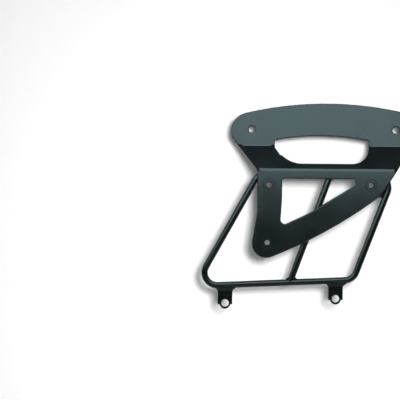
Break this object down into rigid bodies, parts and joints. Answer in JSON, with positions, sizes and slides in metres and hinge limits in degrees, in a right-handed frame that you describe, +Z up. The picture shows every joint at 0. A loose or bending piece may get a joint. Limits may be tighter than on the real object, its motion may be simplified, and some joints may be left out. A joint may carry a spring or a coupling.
{
  "type": "pannier frame",
  "caption": "Side-mounted pannier frame: stepped steel plate with a hand slot and a triangular window, a hoop of round bar with a strut, hanging lugs and threaded inserts.",
  "frame": {"origin": "midway between the two upper bolt holes, on the rear face of the upper flange, which meets the motorcycle", "axes": "+Z up as mounted, +X to the right seen from outside, -Y outwards from the motorcycle"},
  "size_m": [0.3549, 0.0334, 0.3399],
  "materials": {
    "plate_coat": "satin black powder coat",
    "bar_coat": "satin black powder coat",
    "weld_coat": "satin black powder coat over weld ripples",
    "insert_coat": "satin black powder coat on turned steel"
  },
  "bodies": {
    "root": {"side_plate": "plate_coat", "hoop_bar": "bar_coat", "centre_strut": "bar_coat", "left_lug": "bar_coat", "right_lug": "bar_coat", "upper_left_insert": "insert_coat", "upper_right_insert": "insert_coat", "lower_insert": "insert_coat", "corner_gusset": "bar_coat", "top_rail_weld_1": "weld_coat", "top_rail_weld_2": "weld_coat", "top_rail_weld_3": "weld_coat", "top_rail_weld_4": "weld_coat", "hoop_butt_weld": "weld_coat", "strut_head_weld": "weld_coat", "strut_foot_weld": "weld_coat", "left_lug_weld": "weld_coat", "right_lug_weld": "weld_coat", "gusset_rail_weld": "weld_coat"}
  },
  "joints": []
}
